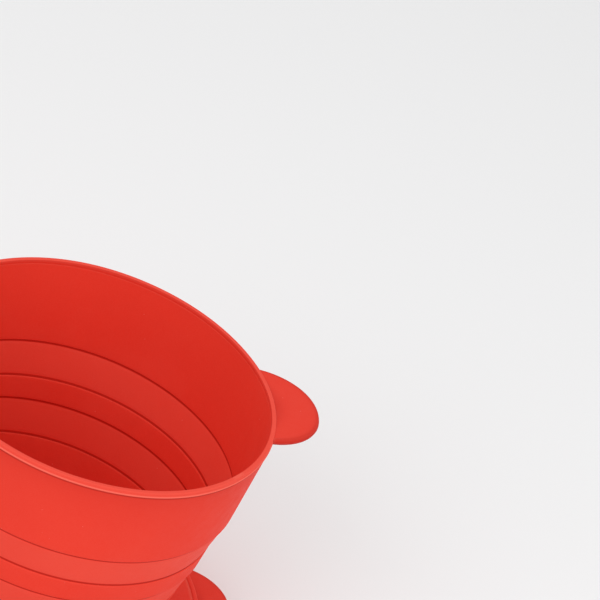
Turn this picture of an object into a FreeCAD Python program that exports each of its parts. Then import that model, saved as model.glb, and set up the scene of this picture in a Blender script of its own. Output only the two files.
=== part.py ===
"""Collapsible silicone popcorn maker: a folding bowl with two tab handles, standing on its own lid.

Frame: +Z up, the origin on the centre line at the underside of the lid, the handles along X, millimetres.
The bowl is one moulding that folds at two thin webs, so it is built as three stiff tiers and two webs.
The lid is a second moulding. It lies top side up under the bowl, as a trivet.
"""
import FreeCAD
import Part
import math
import os

import Sketcher

DIMENSIONS = (
    # the bowl's outline: radii of the outer face, heights above the bowl's own foot
    ("rim_radius", 104.0),
    ("upper_taper", 0.11),
    ("middle_top_radius", 92.5),
    ("middle_low_radius", 90.5),
    ("base_top_radius", 85.0),
    ("base_low_radius", 77.0),
    ("floor_radius", 75.4),
    ("upper_rise", 54.0),
    ("web_rise", 22.0),
    ("middle_rise", 14.0),
    ("base_rise", 33.0),
    # the bowl's sections
    ("wall_thickness", 2.4),
    ("web_thickness", 1.3),
    ("web_inset", 0.5),
    ("floor_thickness", 2.5),
    ("foot_rise", 2.5),
    ("foot_radius", 73.5),
    ("foot_width", 5.0),
    ("bead_width", 2.6),
    ("bead_rise", 3.0),
    ("bead_round", 0.9),
    ("fill_ring_radius", 52.0),
    ("fill_ring_width", 2.0),
    ("fill_ring_rise", 0.9),
    # the bowl's tab handles
    ("handle_centre", 93.6),
    ("handle_reach", 36.5),
    ("handle_half_width", 33.1),
    ("handle_thickness", 4.0),
    ("handle_drop", 0.4),
    ("tab_round", 1.2),
    # the lid
    ("plug_radius", 100.6),
    ("plug_draft", 0.6),
    ("skirt_thickness", 2.4),
    ("skirt_rise", 8.0),
    ("panel_thickness", 3.0),
    ("panel_radius", 101.6),
    ("lid_radius", 105.0),
    ("lid_bead_proud", 0.5),
    ("lid_bead_round", 1.2),
    ("support_ring_radius", 68.5),
    ("support_ring_width", 2.5),
    ("seat_ring_radius", 80.5),
    ("seat_ring_width", 2.5),
    ("seat_ring_rise", 2.0),
    ("seat_ring_round", 0.8),
    ("vent_circle_radius", 90.0),
    ("vent_radius", 2.4),
    ("vent_count", 12),
    ("lid_tab_centre", 92.0),
    ("lid_tab_reach", 32.0),
    ("lid_tab_half_width", 30.0),
)

# heights above the bowl's foot, and above the lid's underside, as expressions of the sheet's cells
FLOOR_TOP = "dims.foot_rise + dims.floor_thickness"
BASE_TOP = "dims.base_rise"
MIDDLE_LOW = "dims.base_rise + dims.web_rise"
MIDDLE_TOP = MIDDLE_LOW + " + dims.middle_rise"
UPPER_LOW = MIDDLE_TOP + " + dims.web_rise"
RIM_TOP = UPPER_LOW + " + dims.upper_rise"
BEAD_LOW = RIM_TOP + " - dims.bead_rise"
FILL_RING_TOP = FLOOR_TOP + " + dims.fill_ring_rise"
LID_TOP = "dims.skirt_rise + dims.panel_thickness"
LID_BEAD_TOP = LID_TOP + " + dims.lid_bead_proud"
LID_BEAD_WIDTH = "(dims.lid_radius - dims.panel_radius)"
SEAT_RING_TOP = LID_TOP + " + dims.seat_ring_rise"
ON_LID = LID_TOP
ON_FLOOR = "0"

# radii of the upper tier's straight cone
UPPER_LOW_RADIUS = "(dims.rim_radius - dims.upper_taper * dims.upper_rise)"
UPPER_TOP_RADIUS = "(dims.rim_radius - dims.upper_taper * dims.bead_rise)"

TOLERANCE = 1e-4
# a tab with its root cut away keeps less than this share of its whole ellipse
LARGEST_TAB_SHARE = 0.7

doc = FreeCAD.newDocument("popcorn_maker")
sheet = doc.addObject("Spreadsheet::Sheet", "dims")
for row, (alias, value) in enumerate(DIMENSIONS, start=1):
    sheet.set(f"A{row}", alias)
    sheet.set(f"B{row}", str(value))
    sheet.setAlias(f"B{row}", alias)
doc.recompute()


def number(expression):
    """The value of an expression of the sheet's cells."""
    return float(sheet.evalExpression(expression))


def new_body(label, height, turn=0.0):
    """An empty body, standing at a height and turned about Z."""
    body = doc.addObject("PartDesign::Body", label)
    body.Label = label
    body.Placement = FreeCAD.Placement(FreeCAD.Vector(), FreeCAD.Rotation(FreeCAD.Vector(0, 0, 1), turn))
    body.setExpression("Placement.Base.z", height)
    return body


def new_sketch(body, name, role, height=None):
    """A sketch on one of the body's origin planes, lifted to a height if one is given."""
    plane = [feature for feature in body.Origin.OriginFeatures if feature.Role == role][0]
    sketch = body.newObject("Sketcher::SketchObject", f"{body.Name}_{name}")
    sketch.AttachmentSupport = [(plane, "")]
    sketch.MapMode = "FlatFace"
    if height is not None:
        sketch.setExpression("AttachmentOffset.Base.z", height)
    return sketch


def bind(sketch, constraint, expression):
    """Adds a dimension to a sketch and binds it to an expression."""
    index = sketch.addConstraint(constraint)
    sketch.setExpression(f"Constraints[{index}]", expression)


def turned(label, outline, height):
    """A body turned about Z from a closed outline of (radius, height) expressions."""
    body = new_body(label, height)
    sketch = new_sketch(body, "outline", "XZ_Plane")
    corners = [FreeCAD.Vector(number(radius), number(level), 0) for radius, level in outline]
    count = len(corners)
    for index in range(count):
        sketch.addGeometry(Part.LineSegment(corners[index], corners[(index + 1) % count]), False)
    for index in range(count):
        sketch.addConstraint(Sketcher.Constraint("Coincident", index, 2, (index + 1) % count, 1))
    for index, (radius, level) in enumerate(outline):
        along = Sketcher.Constraint("DistanceX", -1, 1, index, 1, corners[index].x)
        bind(sketch, along, radius)
        up = Sketcher.Constraint("DistanceY", -1, 1, index, 1, corners[index].y)
        bind(sketch, up, level)
    revolution = body.newObject("PartDesign::Revolution", f"{label}_turn")
    revolution.Profile = sketch
    revolution.ReferenceAxis = (sketch, ["V_Axis"])
    revolution.Angle = 360
    body.Tip = revolution
    doc.recompute()
    return body


def round_rings(body, rings, radius):
    """Rounds the body's circular edges that have the given radii and heights."""
    base = body.Tip
    wanted = [(number(ring_radius), number(level)) for ring_radius, level in rings]
    names = []
    for index, edge in enumerate(base.Shape.Edges, start=1):
        if not isinstance(edge.Curve, Part.Circle):
            continue
        found = (edge.Curve.Radius, edge.Curve.Center.z)
        if any(abs(found[0] - r) + abs(found[1] - z) < TOLERANCE for r, z in wanted):
            names.append(f"Edge{index}")
    add_fillet(body, base, names, len(rings), radius)


def add_fillet(body, base, names, expected, radius):
    """A fillet on named edges of a body's last feature."""
    if len(names) != expected:
        raise ValueError(f"{body.Label}: {len(names)} edges to round, not {expected}")
    fillet = body.newObject("PartDesign::Fillet", f"{body.Name}_round_{len(body.Group)}")
    fillet.Base = (base, names)
    fillet.setExpression("Radius", radius)
    body.Tip = fillet
    doc.recompute()


def tab(label, turn, height, level, centre, reach, half_width, thickness, root_radius):
    """A flat half-ellipse tab that grows out of a round edge, with both its outlines rounded."""
    body = new_body(label, height, turn)
    sketch = new_sketch(body, "outline", "XY_Plane", level)
    middle = FreeCAD.Vector(number(centre), 0, 0)
    tip = middle + FreeCAD.Vector(number(reach), 0, 0)
    side = middle + FreeCAD.Vector(0, number(half_width), 0)
    ellipse = sketch.addGeometry(Part.Ellipse(tip, side, middle), False)
    sketch.exposeInternalGeometry(ellipse)
    long_axis = ellipse + 1
    short_axis = ellipse + 2
    sketch.addConstraint(Sketcher.Constraint("PointOnObject", ellipse, 3, -1))
    sketch.addConstraint(Sketcher.Constraint("Horizontal", long_axis))
    bind(sketch, Sketcher.Constraint("DistanceX", -1, 1, ellipse, 3, middle.x), centre)
    bind(sketch, Sketcher.Constraint("Distance", long_axis, 2 * number(reach)), f"2 * {reach}")
    bind(sketch, Sketcher.Constraint("Distance", short_axis, 2 * number(half_width)), f"2 * {half_width}")
    pad = body.newObject("PartDesign::Pad", f"{label}_pad")
    pad.Profile = sketch
    pad.setExpression("Length", thickness)
    body.Tip = pad
    doc.recompute()
    whole = pad.Shape.Volume
    hollow = new_sketch(body, "root", "XY_Plane", f"{level} + {thickness}")
    circle = hollow.addGeometry(Part.Circle(FreeCAD.Vector(), FreeCAD.Vector(0, 0, 1), number(root_radius)))
    hollow.addConstraint(Sketcher.Constraint("Coincident", circle, 3, -1, 1))
    bind(hollow, Sketcher.Constraint("Radius", circle, number(root_radius)), root_radius)
    pocket = body.newObject("PartDesign::Pocket", f"{label}_root")
    pocket.Profile = hollow
    pocket.setExpression("Length", thickness)
    body.Tip = pocket
    doc.recompute()
    if pocket.Shape.Volume > LARGEST_TAB_SHARE * whole:
        raise ValueError(f"{label}: its root was not cut")
    names = []
    for index, edge in enumerate(pocket.Shape.Edges, start=1):
        if isinstance(edge.Curve, Part.Ellipse):
            names.append(f"Edge{index}")
    # the ellipse starts at its tip, so each outline is two arcs
    add_fillet(body, pocket, names, 4, "dims.tab_round")
    return body


def drill_ring(body, circle_radius, hole_radius, count):
    """A ring of round holes through a body, from below."""
    before = body.Tip.Shape.Volume
    sketch = new_sketch(body, "hole", "XY_Plane")
    centre = FreeCAD.Vector(number(circle_radius), 0, 0)
    hole = sketch.addGeometry(Part.Circle(centre, FreeCAD.Vector(0, 0, 1), number(hole_radius)), False)
    sketch.addConstraint(Sketcher.Constraint("PointOnObject", hole, 3, -1))
    bind(sketch, Sketcher.Constraint("DistanceX", -1, 1, hole, 3, centre.x), circle_radius)
    bind(sketch, Sketcher.Constraint("Radius", hole, number(hole_radius)), hole_radius)
    pocket = body.newObject("PartDesign::Pocket", f"{body.Name}_drill")
    pocket.Profile = sketch
    pocket.Type = "ThroughAll"
    pocket.Reversed = True
    body.Tip = pocket
    doc.recompute()
    pattern = body.newObject("PartDesign::PolarPattern", f"{body.Name}_drill_ring")
    pattern.Originals = [pocket]
    pattern.Axis = (sketch, ["N_Axis"])
    pattern.Angle = 360
    pattern.setExpression("Occurrences", count)
    # the pattern turns about the sketch's own normal, which stands on the centre line
    body.Tip = pattern
    doc.recompute()
    one = math.pi * number(hole_radius) ** 2 * number("dims.panel_thickness")
    if before - pattern.Shape.Volume < one * number(count) * (1 - TOLERANCE):
        raise ValueError(f"{body.Label}: its holes were not all cut")


def ring_outline(radius, width, low, high):
    """The square section of a ring, from its outer radius, width and two heights."""
    inner = f"{radius} - {width}"
    return [(inner, low), (radius, low), (radius, high), (inner, high)]


def cone_outline(low_radius, high_radius, width, low, high):
    """The section of a conical wall, from its outer radii, width and two heights."""
    return [
        (f"{low_radius} - {width}", low),
        (low_radius, low),
        (high_radius, high),
        (f"{high_radius} - {width}", high),
    ]


def build_lid():
    """The lid: a drilled panel with an edge bead, a plug skirt, two rings and two tabs."""
    panel = turned("lid_panel", [
        ("0", "dims.skirt_rise"),
        ("dims.panel_radius", "dims.skirt_rise"),
        ("dims.panel_radius", LID_TOP),
        ("0", LID_TOP),
    ], ON_FLOOR)
    drill_ring(panel, "dims.vent_circle_radius", "dims.vent_radius", "dims.vent_count")
    skirt = turned("lid_skirt", [
        ("dims.plug_radius - dims.skirt_thickness", "0"),
        ("dims.plug_radius - dims.plug_draft", "0"),
        ("dims.plug_radius", "dims.skirt_rise"),
        ("dims.plug_radius - dims.skirt_thickness", "dims.skirt_rise"),
    ], ON_FLOOR)
    bead_outline = ring_outline("dims.lid_radius", LID_BEAD_WIDTH, "dims.skirt_rise", LID_BEAD_TOP)
    bead = turned("lid_edge_bead", bead_outline, ON_FLOOR)
    bead_edges = [("dims.lid_radius", "dims.skirt_rise"), ("dims.lid_radius", LID_BEAD_TOP)]
    round_rings(bead, bead_edges, "dims.lid_bead_round")
    support_outline = ring_outline("dims.support_ring_radius", "dims.support_ring_width", "0",
                                   "dims.skirt_rise")
    support = turned("lid_support_ring", support_outline, ON_FLOOR)
    seat_outline = ring_outline("dims.seat_ring_radius", "dims.seat_ring_width", LID_TOP, SEAT_RING_TOP)
    seat = turned("lid_seat_ring", seat_outline, ON_FLOOR)
    seat_edges = [
        ("dims.seat_ring_radius", SEAT_RING_TOP),
        ("dims.seat_ring_radius - dims.seat_ring_width", SEAT_RING_TOP),
    ]
    round_rings(seat, seat_edges, "dims.seat_ring_round")
    bodies = [panel, bead, seat, skirt, support]
    for label, turn in (("lid_tab_right", 0), ("lid_tab_left", 180)):
        bodies.append(tab(label, turn, ON_FLOOR, "dims.skirt_rise", "dims.lid_tab_centre",
                          "dims.lid_tab_reach", "dims.lid_tab_half_width", "dims.panel_thickness",
                          "dims.lid_radius"))
    return bodies


def build_base_cup():
    """The bowl's stiff base: a foot, a floor with its fill ring, and a conical wall."""
    foot_outline = ring_outline("dims.foot_radius", "dims.foot_width", "0", "dims.foot_rise")
    floor_outline = [
        ("0", "dims.foot_rise"),
        ("dims.floor_radius", "dims.foot_rise"),
        ("dims.base_low_radius", FLOOR_TOP),
        ("0", FLOOR_TOP),
    ]
    fill_outline = ring_outline("dims.fill_ring_radius", "dims.fill_ring_width", FLOOR_TOP, FILL_RING_TOP)
    wall_outline = cone_outline("dims.base_low_radius", "dims.base_top_radius", "dims.wall_thickness",
                                FLOOR_TOP, BASE_TOP)
    return [
        turned("foot_ring", foot_outline, ON_LID),
        turned("bowl_floor", floor_outline, ON_LID),
        turned("fill_line_ring", fill_outline, ON_LID),
        turned("base_wall", wall_outline, ON_LID),
    ]


def build_web(label, low_radius, high_radius, low, high):
    """A thin folding web that joins two tiers, set in from the tiers' outer faces."""
    outline = cone_outline(f"{low_radius} - dims.web_inset", f"{high_radius} - dims.web_inset",
                           "dims.web_thickness", low, high)
    return turned(label, outline, ON_LID)


def build_middle_tier():
    """The bowl's short middle tier, with the folding web on each side of it."""
    wall_outline = cone_outline("dims.middle_low_radius", "dims.middle_top_radius", "dims.wall_thickness",
                                MIDDLE_LOW, MIDDLE_TOP)
    return [
        build_web("lower_fold_web", "dims.base_top_radius", "dims.middle_low_radius", BASE_TOP, MIDDLE_LOW),
        turned("middle_wall", wall_outline, ON_LID),
        build_web("upper_fold_web", "dims.middle_top_radius", UPPER_LOW_RADIUS, MIDDLE_TOP, UPPER_LOW),
    ]


def build_upper_tier():
    """The bowl's tall upper tier: a conical wall, a rim bead and two tab handles."""
    wall_outline = cone_outline(UPPER_LOW_RADIUS, UPPER_TOP_RADIUS, "dims.wall_thickness",
                                UPPER_LOW, BEAD_LOW)
    wall = turned("upper_wall", wall_outline, ON_LID)
    bead = turned("rim_bead", ring_outline("dims.rim_radius", "dims.bead_width", BEAD_LOW, RIM_TOP), ON_LID)
    bead_edges = [("dims.rim_radius", RIM_TOP), ("dims.rim_radius - dims.bead_width", RIM_TOP)]
    round_rings(bead, bead_edges, "dims.bead_round")
    bodies = [wall, bead]
    level = RIM_TOP + " - dims.handle_drop - dims.handle_thickness"
    for label, turn in (("handle_right", 0), ("handle_left", 180)):
        bodies.append(tab(label, turn, ON_LID, level, "dims.handle_centre", "dims.handle_reach",
                          "dims.handle_half_width", "dims.handle_thickness", "dims.rim_radius"))
    return bodies


def build_all():
    """Every sub-part, from the floor up."""
    return build_lid() + build_base_cup() + build_middle_tier() + build_upper_tier()


def check_and_export(bodies):
    """Stops on any failed object or bad shape, and writes one STEP file per sub-part."""
    doc.recompute()
    for item in doc.Objects:
        if "Invalid" in item.State or "Error" in item.State:
            raise ValueError(f"{item.Name} failed: {item.State}")
    for body in bodies:
        if body.Shape.isNull() or not body.Shape.isValid() or len(body.Shape.Solids) != 1:
            raise ValueError(f"{body.Label} is not one valid solid")
    os.makedirs("parts", exist_ok=True)
    for body in bodies:
        body.Shape.exportStep(f"parts/{body.Label}.step")
        box = body.Shape.BoundBox
        print(f"{body.Label:18s} z {box.ZMin:6.2f} to {box.ZMax:6.2f}, volume {body.Shape.Volume:9.1f}")


check_and_export(build_all())
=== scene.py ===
import math

import bmesh
import bpy
import numpy as np
from mathutils import Matrix, Vector


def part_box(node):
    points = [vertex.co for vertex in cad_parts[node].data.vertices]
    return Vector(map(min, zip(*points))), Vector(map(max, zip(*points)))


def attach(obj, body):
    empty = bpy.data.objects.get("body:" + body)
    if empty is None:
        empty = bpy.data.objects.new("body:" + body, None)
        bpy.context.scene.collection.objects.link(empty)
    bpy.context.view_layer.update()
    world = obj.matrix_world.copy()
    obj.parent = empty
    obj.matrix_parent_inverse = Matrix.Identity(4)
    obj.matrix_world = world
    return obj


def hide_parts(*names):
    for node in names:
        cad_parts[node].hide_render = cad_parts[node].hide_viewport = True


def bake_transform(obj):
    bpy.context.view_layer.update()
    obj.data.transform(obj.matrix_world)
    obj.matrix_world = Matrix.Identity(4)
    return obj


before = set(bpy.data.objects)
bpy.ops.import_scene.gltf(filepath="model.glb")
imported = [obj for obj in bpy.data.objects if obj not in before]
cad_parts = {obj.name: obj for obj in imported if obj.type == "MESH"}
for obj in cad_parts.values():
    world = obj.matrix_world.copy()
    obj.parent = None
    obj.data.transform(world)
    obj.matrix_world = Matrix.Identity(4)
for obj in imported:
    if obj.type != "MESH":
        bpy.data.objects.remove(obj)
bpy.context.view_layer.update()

MM = 0.001

# how finely the pieces are divided
SEGMENTS = 240
ARC_STEP = math.radians(15)
LONGEST = 4 * MM
WEB_LONGEST = 1.2 * MM
BEAD_LONGEST = 0.3 * MM
TAB_SECTIONS = 97
TAB_ACROSS = 22
TAB_AROUND = 16

# two places that are nearer than this are the same
NEAR = 0.01 * MM

# the finish of the two mouldings: their own red, the deeper red it clouds into, a pale for bloom, speckles
# and painted highlight, a dark red for painted shade and painted shadow, and lint
SILICONE_RED = (0.79, 0.042, 0.0225)
SILICONE_DEEP = (0.75, 0.035, 0.0185)
SILICONE_PALE_AND_HIGHLIGHT = (0.86, 0.132, 0.092)
SILICONE_PAINTED_SHADE = (0.46, 0.013, 0.0065)
LINT = (0.90, 0.45, 0.40)

# the way that a material's seed shifts its pattern
SEED_WAY = (1.0, 0.37, 1.91)

# the finish of the floor, and the light that comes from all round
FLOOR_WHITE = (0.885, 0.885, 0.888, 1)
FLOOR_ROUGHNESS = 0.9
SURROUND_WHITE = (1.0, 1.0, 1.0, 1)
SURROUND_STRENGTH = 0.76

# each lamp's azimuth and elevation in degrees, its distance and width in metres, and its power in watts
LAMPS = (
    ("key", -50, 36, 1.6, 1.2, 7.0),
    ("fill", 42, 24, 1.7, 1.5, 6.5),
    ("top", 150, 72, 1.6, 1.6, 2.6),
)

# the bowl's slight unevenness at its rim, in mm: a swell all round, and each wave's size, the times that it
# comes up round the bowl, its phase, and its twist from the foot to the rim
SWELL = 0.04
WAVES = (
    (-0.12, 2, 0.0, 0.0),
    (0.10, 3, 0.8, 2.0),
    (0.07, 5, 2.1, -3.0),
    (0.03, 9, 0.0, 5.0),
)
FADE_POWER = 1.5

# how far one region of a moulding reaches, unseen, into the next
TUCK = 1.2 * MM
SINK = 0.8 * MM

# the rounding of the walls' ends, where the webs leave them
HINGE_ROUND = 0.7 * MM

# the unseen seam where the base wall's piece laps over the floor's: how far it is inside the floor's edge,
# and its step's length and depth
SEAM_INSIDE = 8.0 * MM
SEAM_LAP = 3.0 * MM
SEAM_DEPTH = 0.3 * MM

# the lid's steam vents: their number, radius and rounded lip, and half the width of the ring of cells that
# they lie in
VENTS = 12
VENT_HOLE = 2.4 * MM
VENT_LIP = 0.5 * MM
CELL_HALF = 6.0 * MM

# the tabs' outline, whose power is 2 for an ellipse
FULLNESS = 2.09

# each kind of tab: its outline's reach and half width, how far it stays inside the CAD's tip, how deep it is
# buried in its round edge, and the depth of its rounded side
HANDLE = {
    "reach": 36.5 * MM,
    "half_width": 33.1 * MM,
    "inside": 0.1 * MM,
    "buried": 1.7 * MM,
    "edge": 1.9 * MM,
}
LID_TAB = {
    "reach": 32.0 * MM,
    "half_width": 30.0 * MM,
    "inside": 0.0,
    "buried": 2.0 * MM,
    "edge": 1.5 * MM,
}

# the tabs are a little thinner where they leave their round edge
ROOT_DIP = 0.3 * MM
DIP_REACH = 3.2 * MM

# the camera: the way to it from the centre of the bowl's rim, its roll, its distance in metres and its lens
# in mm. The rim's centre lies left of and below its aim, by these slopes.
CAMERA_AZIMUTH = math.radians(-18.13)
CAMERA_ELEVATION = math.radians(33.982)
CAMERA_ROLL = math.radians(-20.895)
CAMERA_DISTANCE = 2.76591
CAMERA_LENS = 300.0
CAMERA_CLIP = (0.05, 50)
AIM_LEFT = 0.04015
AIM_DOWN = 0.01445


def section(node):
    """A turned CAD node's heights, and its radii inside and outside: at its two ends, and over all of it."""
    points = np.array([v.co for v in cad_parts[node].data.vertices])
    radii = np.hypot(points[:, 0], points[:, 1])
    heights = points[:, 2]
    low = heights < heights.min() + NEAR
    high = heights > heights.max() - NEAR
    return {
        "low": float(heights.min()),
        "high": float(heights.max()),
        "low_in": float(radii[low].min()),
        "low_out": float(radii[low].max()),
        "high_in": float(radii[high].min()),
        "high_out": float(radii[high].max()),
        "out": float(radii.max()),
        "in": float(radii.min()),
    }


SECTIONS = {
    node: section(node)
    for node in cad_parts
    if not node.startswith(("handle", "lid_tab"))
}
RIM_TOP = SECTIONS["rim_bead"]["high"]
RIM_RADIUS = SECTIONS["rim_bead"]["out"]
FOOT_LOW = SECTIONS["foot_ring"]["low"]
LID_RADIUS = SECTIONS["lid_edge_bead"]["out"]
FLOOR_SEAM = SECTIONS["bowl_floor"]["out"] - SEAM_INSIDE


# ---------------------------------------------------------------- outlines


def rounded(corners):
    """A closed outline of (radius, height) points, from corners of (radius, height, rounding)."""
    outline = []
    count = len(corners)
    for index in range(count):
        here = np.array(corners[index][:2])
        before = np.array(corners[index - 1][:2]) - here
        after = np.array(corners[(index + 1) % count][:2]) - here
        rounding = corners[index][2]
        if rounding <= 0:
            outline.append(tuple(here))
            continue
        before /= np.linalg.norm(before)
        after /= np.linalg.norm(after)
        half = math.acos(max(-1.0, min(1.0, float(before @ after)))) / 2
        middle = here + (before + after) / np.linalg.norm(before + after) * rounding / math.sin(half)
        start = here + before * rounding / math.tan(half) - middle
        end = here + after * rounding / math.tan(half) - middle
        first = math.atan2(start[1], start[0])
        sweep = math.atan2(end[1], end[0]) - first
        sweep = (sweep + math.pi) % (2 * math.pi) - math.pi
        steps = max(2, math.ceil(abs(sweep) / ARC_STEP))
        for step in range(steps + 1):
            angle = first + sweep * step / steps
            outline.append((middle[0] + rounding * math.cos(angle), middle[1] + rounding * math.sin(angle)))
    return outline


def divided(outline, longest):
    """The outline with its long straight runs divided."""
    points = []
    count = len(outline)
    for index in range(count):
        here, there = outline[index], outline[(index + 1) % count]
        on_axis = here[0] < NEAR and there[0] < NEAR
        parts = 1 if on_axis else max(1, math.ceil(math.dist(here, there) / longest))
        for part in range(parts):
            share = part / parts
            points.append((here[0] + (there[0] - here[0]) * share, here[1] + (there[1] - here[1]) * share))
    return points


def round_axis(radius, step, height):
    """A point at one of the equal steps round the Z axis."""
    angle = 2 * math.pi * step / SEGMENTS
    return radius * math.cos(angle), radius * math.sin(angle), height


def cone_slope(s):
    """How fast a conical section's outer radius grows with height."""
    return (s["high_out"] - s["low_out"]) / (s["high"] - s["low"])


def settle(points):
    """The points moved by the bowl's slight unevenness: a moulding this soft is never quite round.

    The unevenness fades out at the foot.
    """
    radii = np.hypot(points[:, 0], points[:, 1])
    angles = np.arctan2(points[:, 1], points[:, 0])
    share = np.clip((points[:, 2] - FOOT_LOW) / (RIM_TOP - FOOT_LOW), 0, 1)
    waves = sum(size * np.cos(count * angles + phase + twist * share) for size, count, phase, twist in WAVES)
    move = (SWELL + waves) * MM * share ** FADE_POWER
    scale = np.where(radii > NEAR, 1 + move / np.maximum(radii, NEAR), 1.0)
    moved = points.copy()
    moved[:, 0] *= scale
    moved[:, 1] *= scale
    return moved


# ---------------------------------------------------------------- pieces


def new_piece(name, points, faces, painted_tones, soft):
    """A smooth-shaded mesh object with its faces turned outwards, and a tone of painted light at each point.

    A tone of 1 is painted highlight, on the rim's lip and rolled edge and the thin webs, and -1 painted shade
    and shadow, in grooves, under the rim and on the tabs. A soft piece has the bowl's unevenness.
    """
    points = settle(np.array(points, float)) if soft else np.array(points, float)
    mesh = bpy.data.meshes.new(name)
    mesh.from_pydata([tuple(p) for p in points], [], faces)
    solid = bmesh.new()
    solid.from_mesh(mesh)
    bmesh.ops.recalc_face_normals(solid, faces=solid.faces)
    solid.to_mesh(mesh)
    solid.free()
    mesh.shade_smooth()
    # the tones of painted light and shade, which the material mixes into the colour
    mesh.attributes.new("painted_tone", "FLOAT", "POINT").data.foreach_set("value", painted_tones)
    piece = bpy.data.objects.new(name, mesh)
    bpy.context.scene.collection.objects.link(piece)
    return piece


def even(radius, height):
    """A wall's plain colour, with no painted light or shade."""
    return 0.0


def turned(name, outline, soft=True, longest=LONGEST, painted_tone=even):
    """A piece turned about Z from a closed outline that runs anticlockwise in (radius, height)."""
    points = []
    painted_tones = []
    rings = []
    for radius, height in divided(outline, longest):
        on_axis = radius < NEAR
        rings.append((len(points), on_axis))
        steps = 1 if on_axis else SEGMENTS
        points += [round_axis(radius, step, height) for step in range(steps)]
        painted_tones += [painted_tone(radius, height)] * steps
    faces = []
    for index, (here, here_pole) in enumerate(rings):
        there, there_pole = rings[(index + 1) % len(rings)]
        if here_pole and there_pole:
            continue
        for step in range(SEGMENTS):
            after = (step + 1) % SEGMENTS
            if here_pole:
                faces.append((here, there + after, there + step))
            elif there_pole:
                faces.append((here + step, here + after, there))
            else:
                faces.append((here + step, here + after, there + after, there + step))
    return new_piece(name, points, faces, painted_tones, soft)


def ring(name, node, roundings, sink_low=0.0, sink_high=0.0, soft=True):
    """A plain ring, with its corners' roundings in mm, from the inner low one round to the inner high one."""
    s = SECTIONS[node]
    low = s["low"] - sink_low
    high = s["high"] + sink_high
    radii = (s["in"], s["out"], s["out"], s["in"])
    heights = (low, low, high, high)
    corners = [(radius, height, size * MM) for radius, height, size in zip(radii, heights, roundings)]
    return turned(name, rounded(corners), soft)


# ---------------------------------------------------------------- the bowl's pieces


def foot_ring():
    """The ring that the bowl stands on, rounded below and sunk into the floor above."""
    foot_round = 0.8
    return ring("foot_ring_skin", "foot_ring", (foot_round, foot_round, 0, 0), sink_high=SINK)


def fill_line():
    """The raised line on the floor that kernels are filled to."""
    line_round = 0.45
    sink = 0.6 * MM
    return ring("fill_line_skin", "fill_line_ring", (0, 0, line_round, line_round), sink_low=sink)


def bowl_floor():
    """The floor: flat, a little dished towards its centre so that kernels gather, with a boss below."""
    s = SECTIONS["bowl_floor"]
    edge = FLOOR_SEAM - SEAM_LAP
    dish = 0.5 * MM
    dish_steps = 22
    boss_radius = 5.0 * MM
    boss_depth = 0.5 * MM
    boss_slope = 0.8 * MM
    top = []
    for step in range(dish_steps + 1):
        share = step / dish_steps
        top.append((edge * share, s["high"] - dish * (1 - share ** 2) ** 2))
    outline = [
        (0.0, s["low"] - boss_depth),
        (boss_radius, s["low"] - boss_depth),
        (boss_radius + boss_slope, s["low"]),
        (FLOOR_SEAM, s["low"]),
        (FLOOR_SEAM, s["high"] - SEAM_DEPTH),
        (edge, s["high"] - SEAM_DEPTH),
    ]
    return turned("bowl_floor_skin", outline + top[::-1])


def base_wall():
    """The base cup's wall, with a coved corner inside and a rounded one under it, out to the floor's edge."""
    s = SECTIONS["base_wall"]
    floor = SECTIONS["bowl_floor"]
    cove = 7.0 * MM
    under_round = 3.4 * MM
    heel_round = 2.0 * MM
    corners = [
        (FLOOR_SEAM, floor["low"], 0),
        (floor["low_out"], floor["low"], under_round),
        (s["low_out"], s["low"], heel_round),
        (s["high_out"], s["high"], HINGE_ROUND),
        (s["high_in"], s["high"], HINGE_ROUND),
        (s["low_in"], s["low"], cove),
        (FLOOR_SEAM - SEAM_LAP, s["low"], 0),
        (FLOOR_SEAM - SEAM_LAP, s["low"] - SEAM_DEPTH, 0),
        (FLOOR_SEAM, s["low"] - SEAM_DEPTH, 0),
    ]
    return turned("base_wall_skin", rounded(corners))


def middle_wall():
    """The middle tier's conical wall."""
    s = SECTIONS["middle_wall"]
    corners = [
        (s["low_in"], s["low"], HINGE_ROUND),
        (s["low_out"], s["low"], HINGE_ROUND),
        (s["high_out"], s["high"], HINGE_ROUND),
        (s["high_in"], s["high"], HINGE_ROUND),
    ]
    return turned("middle_wall_skin", rounded(corners))


def upper_wall():
    """The upper tier's conical wall, with a thinner tongue tucked up into the rim's bead."""
    s = SECTIONS["upper_wall"]
    inset = 0.5 * MM
    slope = cone_slope(s)
    top = s["high"] + TUCK
    # rows of points crowd under the bead, where the painted shadow under it changes quickly
    rows = 4
    row_drop = 0.4 * MM
    drops = [row_drop * row for row in range(1, rows + 1)]
    outside = [(s["high_out"] - slope * drop, s["high"] - drop, 0) for drop in drops]
    inside = [(s["high_in"] - slope * drop, s["high"] - drop, 0) for drop in drops]
    tongue = [
        (s["high_out"], s["high"], 0),
        (s["high_out"] - inset, s["high"], 0),
        (s["high_out"] - inset, top, 0),
        (s["high_in"] + inset, top, 0),
        (s["high_in"] + inset, s["high"], 0),
        (s["high_in"], s["high"], 0),
    ]
    foot = [(s["low_in"], s["low"], HINGE_ROUND), (s["low_out"], s["low"], HINGE_ROUND)]
    # the outside is painted darker up to the bead as painted shade, with a painted shadow in the crease under
    # it
    return turned("upper_wall_skin", rounded(foot + outside[::-1] + tongue + inside), painted_tone=painted_shade_under_bead)


def painted_shade_under_bead(radius, height):
    """The upper wall's painted shade: outside, a little darker up to the bead, and a dark painted shadow in
    the crease just under it.
    """
    s = SECTIONS["upper_wall"]
    shade, shade_reach = 0.28, 13.0 * MM
    crease_shadow, crease_shadow_reach = 1.4, 0.8 * MM
    crease_in = 0.4 * MM
    below = max(s["high"] - height, 0.0)
    if radius + cone_slope(s) * below < (s["high_in"] + s["high_out"]) / 2:
        return 0.0
    painted_tone = -shade * math.exp(-below / shade_reach)
    if radius > s["high_out"] - crease_in:
        painted_tone -= crease_shadow * math.exp(-(below / crease_shadow_reach) ** 2)
    return painted_tone


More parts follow.
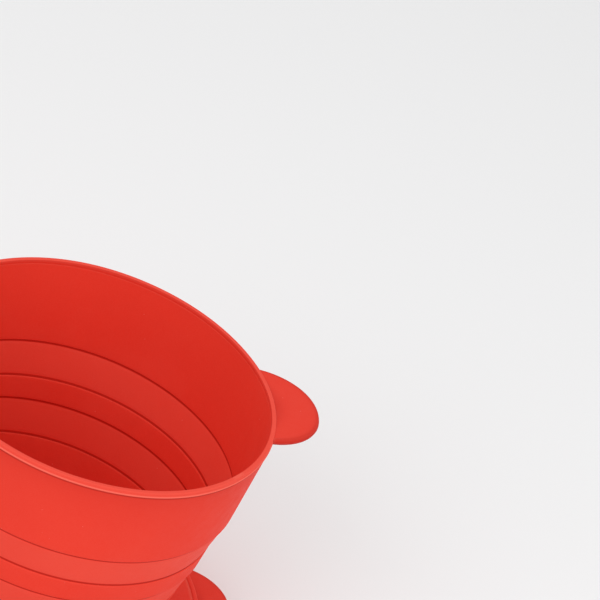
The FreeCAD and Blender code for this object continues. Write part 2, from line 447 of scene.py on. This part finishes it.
def rim_bead():
    """The rim: a flat lip, whose outer face ends below in a fine rolled edge that stands proud."""
    s = SECTIONS["rim_bead"]
    wall_in = SECTIONS["upper_wall"]["high_in"]
    proud = 0.45 * MM
    roll = 0.42 * MM
    roll_top = 2.0 * roll
    roll_top_round = 0.7 * roll
    neck = 2.6 * roll
    neck_round = 0.3 * MM
    lean = 0.05 * MM
    out_round = 0.6 * MM
    lip_in = 1.3 * MM
    in_round = 0.3 * MM
    under = 0.1 * MM
    lap = 0.4 * MM
    face = s["out"] - proud
    corners = [
        (wall_in, s["low"] - under, 0),
        (s["out"], s["low"] - under, roll),
        (s["out"], s["low"] + roll_top, roll_top_round),
        (face, s["low"] + neck, neck_round),
        (face - lean, s["high"], out_round),
        (s["high_in"] - lip_in, s["high"], in_round),
        (wall_in, s["low"] + lap, 0),
    ]

    # painted light on the rim: the lip's top and outer face a little lighter and the rolled edge bright, as
    # painted highlight, and the wall just under the roll dark, as painted shadow
    roll_from = face + 0.12 * MM
    roll_foot = s["low"] + 0.15 * MM
    plain_below = s["low"] + 1.5 * MM
    lip_highlight = 0.27

    def painted_tone(radius, height):
        if radius > roll_from:
            return 1.0 if height > roll_foot else -1.0
        if radius < s["high_in"] and height < plain_below:
            return 0.0
        return lip_highlight

    return turned("rim_bead_skin", rounded(corners), longest=BEAD_LONGEST, painted_tone=painted_tone)


def web(node):
    """A folding web. Its hinge lines are its thinnest places, and its ends run on inside the tiers."""
    s = SECTIONS[node]
    slope = cone_slope(s)
    thickness = s["low_out"] - s["low_in"]
    steps = 44
    hinge_share = 0.09
    thinned = 0.22 * MM
    tongue = 0.15 * MM
    outer = []
    inner = []
    for step in range(steps + 1):
        share = step / steps
        height = s["low"] + (s["high"] - s["low"]) * share
        edge = min(share, 1 - share)
        hinge = math.exp(-((edge - hinge_share / 2) / (hinge_share / 2)) ** 2)
        radius = s["low_out"] + (height - s["low"]) * slope
        outer.append((radius - thinned * hinge, height))
        inner.append((radius - thickness + thinned * hinge, height))
    low_end, high_end = s["low"] - TUCK, s["high"] + TUCK
    outline = [(outer[0][0] - tongue, low_end)] + outer + [(outer[-1][0] - tongue, high_end)]
    outline += [(inner[-1][0] + tongue, high_end)] + inner[::-1] + [(inner[0][0] + tongue, low_end)]

    # painted light on the web: its hinge lines dark, as painted shade in their grooves, and the rest a little
    # paler, as a painted glow of light through the thin silicone
    hinge_line = 1.0 * MM
    hinge_shade = -0.9
    thin_glow = 0.18

    def painted_tone(radius, height):
        edge = min(height - s["low"], s["high"] - height)
        return hinge_shade if edge < hinge_line else thin_glow

    return turned(node + "_skin", outline, longest=WEB_LONGEST, painted_tone=painted_tone)


# ---------------------------------------------------------------- tabs


def lobe(angle, centre, shape):
    """A point of the tab's outline, an ellipse with slightly full shoulders, and the way out from it."""
    power = 2 / FULLNESS
    x = math.cos(angle) ** power
    y = math.copysign(abs(math.sin(angle)) ** power, angle)
    out_x = x ** (FULLNESS - 1) / shape["reach"]
    out_y = math.copysign(abs(y) ** (FULLNESS - 1), angle) / shape["half_width"]
    size = math.hypot(out_x, out_y)
    return np.array([centre + shape["reach"] * x, shape["half_width"] * y]), np.array([out_x, out_y]) / size


def last_angle(centre, shape, root):
    """The angle at which the tab's outline meets its round edge, where it is just buried in it."""
    just_buried = 0.5 * MM
    halvings = 40
    low, high = 0.0, math.pi / 2
    for _ in range(halvings):
        angle = (low + high) / 2
        if np.linalg.norm(lobe(angle, centre, shape)[0]) > root - just_buried:
            low = angle
        else:
            high = angle
    return low


def painted_side_shade(turn):
    """The painted shade round a tab's side, at an angle from its top: darker than its faces, and darkest low
    down, turned from the light.
    """
    edge, side, power = 0.38, 0.4, 0.6
    corner, corner_turn, corner_width = 1.4, 2.3, 0.27
    low_corner_shade = corner * math.exp(-((turn - corner_turn) / corner_width) ** 2)
    return -edge - side * abs(math.sin(turn)) ** power - low_corner_shade


def painted_face_shade(step):
    """The painted shade of a tab's face, from its root out: a little all over, more at its root beside the
    rim, and a little more at its edge.
    """
    plain, edge = 0.1, 0.08
    root, root_steps = 0.35, 5
    to_edge = TAB_ACROSS - 1 - step
    return -root * math.exp(-(step / root_steps) ** 2) - plain - edge * math.exp(-to_edge ** 2)


def tab_section(angle, centre, shape, root, low, high):
    """A closed section of a tab: out along its top, round its side, which has a fine seam, and back below."""
    squareness = 0.85
    seam = 0.10 * MM
    rim_point, normal = lobe(angle, centre, shape)
    flat_end = rim_point - normal * shape["edge"]
    way = flat_end - np.array([centre, 0.0])
    way /= np.linalg.norm(way)
    start = root - shape["buried"]
    along = centre * way[0]
    inwards = -along + math.sqrt(along ** 2 - centre ** 2 + start ** 2)
    root_point = np.array([centre, 0.0]) + way * inwards
    above = []
    below = []
    for step in range(TAB_ACROSS):
        x, y = root_point + (flat_end - root_point) * step / TAB_ACROSS
        beyond = max(math.hypot(x, y) - root, 0.0)
        dip = ROOT_DIP * math.exp(-(beyond / DIP_REACH) ** 2)
        above.append((x, y, high - dip))
        below.append((x, y, low + dip))
    half = (high - low) / 2
    side = []
    for step in range(TAB_AROUND + 1):
        turn = math.pi * step / TAB_AROUND
        out = shape["edge"] * math.sin(turn) ** squareness
        if step == TAB_AROUND // 2:
            out += seam
        x, y = flat_end + normal * out
        side.append((x, y, high - half + half * math.cos(turn)))
    return above + side + below[::-1]


def tab(node, sign, shape, root, soft):
    """A flat rounded tab that grows out of a round edge of radius root."""
    low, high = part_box(node)
    tip = (high.x if sign > 0 else -low.x) - shape["inside"]
    centre = tip - shape["reach"]
    last = last_angle(centre, shape, root)
    sections = []
    for number in range(TAB_SECTIONS):
        angle = last * (1 - 2 * number / (TAB_SECTIONS - 1))
        sections.append(tab_section(angle, centre, shape, root, low.z, high.z))
    points = [(sign * x, sign * y, z) for loop in sections for x, y, z in loop]
    # painted shade on the tab: over its faces, more at its root, and round its sides
    painted_face_shades = [painted_face_shade(step) for step in range(TAB_ACROSS)]
    painted_side_shades = [painted_side_shade(math.pi * step / TAB_AROUND) for step in range(TAB_AROUND + 1)]
    painted_tones = (painted_face_shades + painted_side_shades + painted_face_shades[::-1]) * TAB_SECTIONS
    size = len(sections[0])
    last_section = len(points) - size
    faces = []
    for here in range(0, last_section, size):
        for step in range(size):
            after = (step + 1) % size
            faces.append((here + step, here + after, here + size + after, here + size + step))
    faces.append(tuple(range(size))[::-1])
    faces.append(tuple(range(last_section, len(points))))
    return new_piece(node + "_skin", points, faces, painted_tones, soft)


# ---------------------------------------------------------------- the lid's pieces


class Shell:
    """A mesh in the making. A place that comes up twice is one point."""

    def __init__(self):
        self.points = []
        self.faces = []
        self.places = {}

    def vertex(self, x, y, z):
        """The number of the point at this place."""
        key = (round(x / NEAR), round(y / NEAR), round(z / NEAR))
        if key not in self.places:
            self.places[key] = len(self.points)
            self.points.append((x, y, z))
        return self.places[key]

    def circle(self, radius, height):
        """The numbers of the points round a circle."""
        return [self.vertex(*round_axis(radius, step, height)) for step in range(SEGMENTS)]

    def band(self, first, second, flip):
        """The faces between two circles."""
        for step in range(SEGMENTS):
            after = (step + 1) % SEGMENTS
            quad = (first[step], first[after], second[after], second[step])
            self.faces.append(quad[::-1] if flip else quad)


def panel_face(shell, cells, edge, height, flip):
    """One face of the panel, inside and outside its ring of cells."""
    inner_rings = 21
    outer_rings = 3
    cell_in, cell_out = cells
    pole = shell.vertex(0.0, 0.0, height)
    inner = [shell.circle(cell_in * k / inner_rings, height) for k in range(1, inner_rings + 1)]
    for step in range(SEGMENTS):
        triangle = (pole, inner[0][step], inner[0][(step + 1) % SEGMENTS])
        shell.faces.append(triangle[::-1] if flip else triangle)
    beyond = (edge - cell_out) / outer_rings
    outer = [shell.circle(cell_out + beyond * k, height) for k in range(outer_rings + 1)]
    for circles in (inner, outer):
        for first, second in zip(circles, circles[1:]):
            shell.band(first, second, not flip)


def cell_border(sector, cells):
    """The points round the border of a vent's cell, seen from above."""
    side_steps = 8
    cell_in, cell_out = cells
    width = cell_out - cell_in
    steps = SEGMENTS // VENTS
    start = sector * steps
    end = start + steps
    border = [(cell_in, start + k) for k in range(steps)]
    border += [(cell_in + width * k / side_steps, end) for k in range(side_steps)]
    border += [(cell_out, end - k) for k in range(steps)]
    border += [(cell_out - width * k / side_steps, start) for k in range(side_steps)]
    return [round_axis(radius, step, 0.0)[:2] for radius, step in border]


def vent_column(x, y, centre, low, high):
    """The points from a place on a cell's border to its vent, down through it and back out below."""
    shares = (0.45, 0.75, 0.9)
    lip_steps = 3
    away = np.array([x, y]) - centre
    away /= np.linalg.norm(away)
    near = centre + away * (VENT_HOLE + VENT_LIP)
    column = [(x, y, high)]
    for share in shares:
        column.append((x + (near[0] - x) * share, y + (near[1] - y) * share, high))
    for step in range(lip_steps + 1):
        angle = math.pi / 2 * step / lip_steps
        lip_x, lip_y = centre + away * (VENT_HOLE + VENT_LIP * (1 - math.sin(angle)))
        column.append((lip_x, lip_y, high - VENT_LIP * (1 - math.cos(angle))))
    return column + [(px, py, high + low - pz) for px, py, pz in column[::-1]]


def lid_panel():
    """The lid's flat panel with a ring of round steam vents, each with softened lips."""
    s = SECTIONS["lid_panel"]
    vent_circle = s["in"] + VENT_HOLE
    cells = (vent_circle - CELL_HALF, vent_circle + CELL_HALF)
    lap = 0.3 * MM
    edge = s["out"] + lap
    shell = Shell()
    panel_face(shell, cells, edge, s["high"], False)
    panel_face(shell, cells, edge, s["low"], True)
    shell.band(shell.circle(edge, s["low"]), shell.circle(edge, s["high"]), False)
    for sector in range(VENTS):
        turn = 2 * math.pi * (sector + 0.5) / VENTS
        centre = vent_circle * np.array([math.cos(turn), math.sin(turn)])
        columns = []
        for x, y in cell_border(sector, cells):
            column = vent_column(x, y, centre, s["low"], s["high"])
            columns.append([shell.vertex(*point) for point in column])
        for here, there in zip(columns, columns[1:] + columns[:1]):
            for k in range(len(here) - 1):
                shell.faces.append((here[k + 1], there[k + 1], there[k], here[k]))
    return new_piece("lid_panel_skin", shell.points, shell.faces, [0.0] * len(shell.points), False)


def lid_edge():
    """The lid's rounded edge."""
    roundings = (0.4, 1.2, 1.5, 0.9)
    return ring("lid_edge_skin", "lid_edge_bead", roundings, soft=False)


def lid_seat():
    """The raised ring on the panel that centres the bowl's foot."""
    seat_round = 0.9
    roundings = (0, 0, seat_round, seat_round)
    return ring("lid_seat_skin", "lid_seat_ring", roundings, sink_low=SINK, soft=False)


def lid_support():
    """The inner ring under the panel, which carries the bowl's weight to the table."""
    foot_round = 0.7
    roundings = (foot_round, foot_round, 0, 0)
    return ring("lid_support_skin", "lid_support_ring", roundings, sink_high=SINK, soft=False)


def lid_skirt():
    """The lid's plug skirt, rounded below and sunk into the panel above."""
    s = SECTIONS["lid_skirt"]
    skirt_round = 0.7 * MM
    corners = [
        (s["low_in"], s["low"], skirt_round),
        (s["low_out"], s["low"], skirt_round),
        (s["high_out"], s["high"] + SINK, 0),
        (s["high_in"], s["high"] + SINK, 0),
    ]
    return turned("lid_skirt_skin", rounded(corners), soft=False)


# ---------------------------------------------------------------- materials


class Finish:
    """A new material's nodes, with a function for each kind that silicone needs.

    The scales of its noises are in cycles a metre.
    """

    def __init__(self, name, seed):
        self.material = bpy.data.materials.new(name)
        self.material.use_nodes = True
        self.nodes = self.material.node_tree.nodes
        self.links = self.material.node_tree.links
        self.shader = self.nodes["Principled BSDF"]
        place = self.nodes.new("ShaderNodeTexCoord")
        shift = self.nodes.new("ShaderNodeVectorMath")
        shift.operation = "ADD"
        shift.inputs[1].default_value = [seed * part for part in SEED_WAY]
        self.links.new(place.outputs["Object"], shift.inputs[0])
        self.place = shift.outputs[0]

    def drive(self, name, source):
        """Join a source to one of the shader's inputs."""
        self.links.new(source, self.shader.inputs[name])

    def noise(self, scale, detail, roughness=0.5):
        """A cloudy pattern from 0 to 1, mostly near a half."""
        node = self.nodes.new("ShaderNodeTexNoise")
        node.inputs["Scale"].default_value = scale
        node.inputs["Detail"].default_value = detail
        node.inputs["Roughness"].default_value = roughness
        self.links.new(self.place, node.inputs["Vector"])
        return node.outputs["Fac"]

    def cells(self, scale):
        """Scattered cells: the distance from each one's middle, and a number from 0 to 1 for each."""
        node = self.nodes.new("ShaderNodeTexVoronoi")
        node.inputs["Scale"].default_value = scale
        self.links.new(self.place, node.inputs["Vector"])
        number = self.nodes.new("ShaderNodeSeparateColor")
        self.links.new(node.outputs["Color"], number.inputs[0])
        return node.outputs["Distance"], number.outputs[0]

    def remap(self, source, low, high, start=0.25, end=0.75):
        """The source's range from start to end, spread from low to high."""
        node = self.nodes.new("ShaderNodeMapRange")
        node.inputs["From Min"].default_value = start
        node.inputs["From Max"].default_value = end
        node.inputs["To Min"].default_value = low
        node.inputs["To Max"].default_value = high
        self.links.new(source, node.inputs["Value"])
        return node.outputs["Result"]

    def plus(self, first, second):
        """The sum of two sources."""
        node = self.nodes.new("ShaderNodeMath")
        node.operation = "ADD"
        self.links.new(first, node.inputs[0])
        self.links.new(second, node.inputs[1])
        return node.outputs[0]

    def times(self, first, second):
        """The product, kept from 0 to 1. The second factor is a source or a number."""
        node = self.nodes.new("ShaderNodeMath")
        node.operation = "MULTIPLY"
        node.use_clamp = True
        self.links.new(first, node.inputs[0])
        if isinstance(second, float):
            node.inputs[1].default_value = second
        else:
            self.links.new(second, node.inputs[1])
        return node.outputs[0]

    def mix(self, factor, first, second):
        """The first colour turning into the second. Each is a source or a colour."""
        node = self.nodes.new("ShaderNodeMix")
        node.data_type = "RGBA"
        node.clamp_factor = True
        self.links.new(factor, node.inputs[0])
        for socket, value in ((node.inputs[6], first), (node.inputs[7], second)):
            if isinstance(value, tuple):
                socket.default_value = (*value, 1.0)
            else:
                self.links.new(value, socket)
        return node.outputs[2]

    def bump(self, height, distance, strength, below=None):
        """A relief, on top of the one below."""
        node = self.nodes.new("ShaderNodeBump")
        node.inputs["Strength"].default_value = strength
        node.inputs["Distance"].default_value = distance
        self.links.new(height, node.inputs["Height"])
        if below is not None:
            self.links.new(below, node.inputs["Normal"])
        return node.outputs["Normal"]


def clouded(finish, bloom):
    """The moulding's own colour, slightly clouded, with a faint bloom and fine pale speckles."""
    clouds = finish.remap(finish.noise(scale=22.0, detail=3.0), low=0.0, high=0.6)
    red = finish.mix(clouds, SILICONE_RED, SILICONE_DEEP)
    bloomed = finish.mix(finish.remap(bloom, low=0.0, high=0.14, start=0.48, end=0.72), red, SILICONE_PALE_AND_HIGHLIGHT)
    speckles = finish.remap(finish.noise(scale=1400.0, detail=2.0, roughness=0.6), low=0.0, high=0.12)
    return finish.mix(speckles, bloomed, SILICONE_PALE_AND_HIGHLIGHT)


def with_painted_light(finish, colour):
    """The colour with painted light mixed in: painted shade and shadow darken it where the tone is below 0,
    and painted highlight lightens it where the tone is above 0 and on convex edges.
    """
    painted_tone = finish.nodes.new("ShaderNodeAttribute")
    painted_tone.attribute_name = "painted_tone"
    shape = finish.nodes.new("ShaderNodeNewGeometry")
    # convex edges are painted lighter, as painted highlight
    edge_highlights = finish.remap(shape.outputs["Pointiness"], low=0.0, high=0.4, start=0.51, end=0.56)
    with_painted_shade = finish.mix(finish.times(painted_tone.outputs["Fac"], -1.0), colour, SILICONE_PAINTED_SHADE)
    with_edge_highlight = finish.mix(edge_highlights, with_painted_shade, SILICONE_PALE_AND_HIGHLIGHT)
    return finish.mix(painted_tone.outputs["Fac"], with_edge_highlight, SILICONE_PALE_AND_HIGHLIGHT)


def linted(finish, colour):
    """The colour with a few specks of lint on it."""
    distance, number = finish.cells(scale=210.0)
    speck = finish.remap(distance, low=0.5, high=0.0, start=0.025, end=0.05)
    chosen = finish.remap(number, low=0.0, high=1.0, start=0.80, end=0.84)
    return finish.mix(finish.times(speck, chosen), colour, LINT)


def handled(finish, bloom, roughness):
    """An uneven satin roughness, duller where there is bloom."""
    spread = 0.06
    worn = finish.noise(scale=160.0, detail=2.0)
    satin = finish.remap(worn, low=roughness - spread, high=roughness + spread)
    return finish.plus(satin, finish.remap(bloom, low=0.0, high=0.12, start=0.45, end=0.75))


def relief(finish):
    """Broad soft unevenness, then a faint orange peel, then a fine matt grain."""
    broad = finish.bump(finish.noise(scale=16.0, detail=1.0), distance=0.9 * MM, strength=0.35)
    peel = finish.noise(scale=420.0, detail=1.0)
    peeled = finish.bump(peel, distance=0.10 * MM, strength=0.45, below=broad)
    grain = finish.noise(scale=2600.0, detail=3.0, roughness=0.65)
    return finish.bump(grain, distance=0.12 * MM, strength=0.55, below=peeled)


def silicone(name, roughness, seed):
    """Satin moulded silicone."""
    finish = Finish(name, seed)
    finish.shader.inputs["IOR"].default_value = 1.42
    finish.shader.inputs["Specular IOR Level"].default_value = 0.13
    bloom = finish.noise(scale=8.0, detail=5.0, roughness=0.62)
    # the base colour: the silicone's own clouded red and lint, with painted shade and painted highlight mixed
    # in
    finish.drive("Base Color", linted(finish, with_painted_light(finish, clouded(finish, bloom))))
    finish.drive("Roughness", handled(finish, bloom, roughness))
    finish.drive("Normal", relief(finish))
    return finish.material


def paint(piece, material):
    """Give a piece its one material."""
    piece.data.materials.clear()
    piece.data.materials.append(material)


# ---------------------------------------------------------------- the two mouldings


def build_bowl():
    """The bowl's pieces, which ride on their tiers, and the two webs between the tiers."""
    skin = silicone("bowl_silicone", roughness=0.60, seed=0.0)
    thin = silicone("web_silicone", roughness=0.54, seed=0.31)
    riding = (
        (foot_ring(), "foot_ring", "base_cup"),
        (bowl_floor(), "bowl_floor", "base_cup"),
        (fill_line(), "fill_line_ring", "base_cup"),
        (base_wall(), "base_wall", "base_cup"),
        (middle_wall(), "middle_wall", "middle_ring"),
        (upper_wall(), "upper_wall", "upper_ring"),
        (rim_bead(), "rim_bead", "upper_ring"),
        (tab("handle_right", 1, HANDLE, RIM_RADIUS, soft=True), "handle_right", "upper_ring"),
        (tab("handle_left", -1, HANDLE, RIM_RADIUS, soft=True), "handle_left", "upper_ring"),
    )
    for piece, node, body in riding:
        paint(piece, skin)
        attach(piece, body)
        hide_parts(node)
    for node, below, above in (
        ("lower_fold_web", "base_cup", "middle_ring"),
        ("upper_fold_web", "middle_ring", "upper_ring"),
    ):
        piece = web(node)
        paint(piece, thin)
        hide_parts(node)
        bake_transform(piece)


def build_lid():
    """The lid's pieces, which all ride on the lid."""
    skin = silicone("lid_silicone", roughness=0.60, seed=0.77)
    riding = (
        (lid_panel(), "lid_panel"),
        (lid_edge(), "lid_edge_bead"),
        (lid_seat(), "lid_seat_ring"),
        (lid_skirt(), "lid_skirt"),
        (lid_support(), "lid_support_ring"),
        (tab("lid_tab_right", 1, LID_TAB, LID_RADIUS, soft=False), "lid_tab_right"),
        (tab("lid_tab_left", -1, LID_TAB, LID_RADIUS, soft=False), "lid_tab_left"),
    )
    for piece, node in riding:
        paint(piece, skin)
        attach(piece, "lid")
        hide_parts(node)


# ---------------------------------------------------------------- stage


def direction(azimuth, elevation):
    """The way from the object to a place seen at these angles, with azimuth 0 in front of it."""
    return Vector((
        math.sin(azimuth) * math.cos(elevation),
        -math.cos(azimuth) * math.cos(elevation),
        math.sin(elevation),
    ))


def build_floor():
    """A pale matt floor, a hair below the object's underside."""
    reach = 6.0
    level = -0.1 * MM
    corners = [(-reach, -reach, level), (reach, -reach, level), (reach, reach, level), (-reach, reach, level)]
    mesh = bpy.data.meshes.new("floor")
    mesh.from_pydata(corners, [], [(0, 1, 2, 3)])
    floor = bpy.data.objects.new("floor", mesh)
    bpy.context.scene.collection.objects.link(floor)
    material = bpy.data.materials.new("floor_paper")
    material.use_nodes = True
    shader = material.node_tree.nodes["Principled BSDF"]
    shader.inputs["Base Color"].default_value = FLOOR_WHITE
    shader.inputs["Roughness"].default_value = FLOOR_ROUGHNESS
    mesh.materials.append(material)


def build_surround():
    """An even white light from all round, shown with no tone curve."""
    world = bpy.data.worlds.new("surround")
    world.use_nodes = True
    background = world.node_tree.nodes["Background"]
    background.inputs["Color"].default_value = SURROUND_WHITE
    background.inputs["Strength"].default_value = SURROUND_STRENGTH
    bpy.context.scene.world = world
    bpy.context.scene.view_settings.view_transform = "Standard"


def build_lamps():
    """Large soft round lamps, aimed at the bowl a little above its middle."""
    aim_share = 0.6
    target = Vector((0, 0, RIM_TOP * aim_share))
    for name, azimuth, elevation, distance, width, power in LAMPS:
        light = bpy.data.lights.new(name, "AREA")
        light.shape = "DISK"
        light.size = width
        light.energy = power
        lamp = bpy.data.objects.new(name, light)
        bpy.context.scene.collection.objects.link(lamp)
        way = direction(math.radians(azimuth), math.radians(elevation))
        lamp.location = target + way * distance
        lamp.rotation_mode = "QUATERNION"
        lamp.rotation_quaternion = (-way).to_track_quat("-Z", "Y")


def build_camera():
    """The camera: a long lens, high above the rim, rolled, and aimed right of and above the bowl."""
    back = direction(CAMERA_AZIMUTH, CAMERA_ELEVATION)
    right = Vector((math.cos(CAMERA_AZIMUTH), math.sin(CAMERA_AZIMUTH), 0))
    level = Matrix((right, back.cross(right), back))
    roll = Matrix.Rotation(CAMERA_ROLL, 3, "Z")
    towards = Vector((-AIM_LEFT, -AIM_DOWN, -1)).normalized()
    aim = Vector((0, 0, -1)).rotation_difference(towards).to_matrix()
    turn = (aim @ roll @ level).transposed()
    data = bpy.data.cameras.new("camera")
    data.lens = CAMERA_LENS
    data.clip_start, data.clip_end = CAMERA_CLIP
    camera = bpy.data.objects.new("camera", data)
    bpy.context.scene.collection.objects.link(camera)
    place = Vector((0, 0, RIM_TOP)) + back * CAMERA_DISTANCE
    camera.matrix_world = Matrix.Translation(place) @ turn.to_4x4()
    bpy.context.scene.camera = camera


build_camera()
build_bowl()
build_lid()
build_floor()
build_surround()
build_lamps()
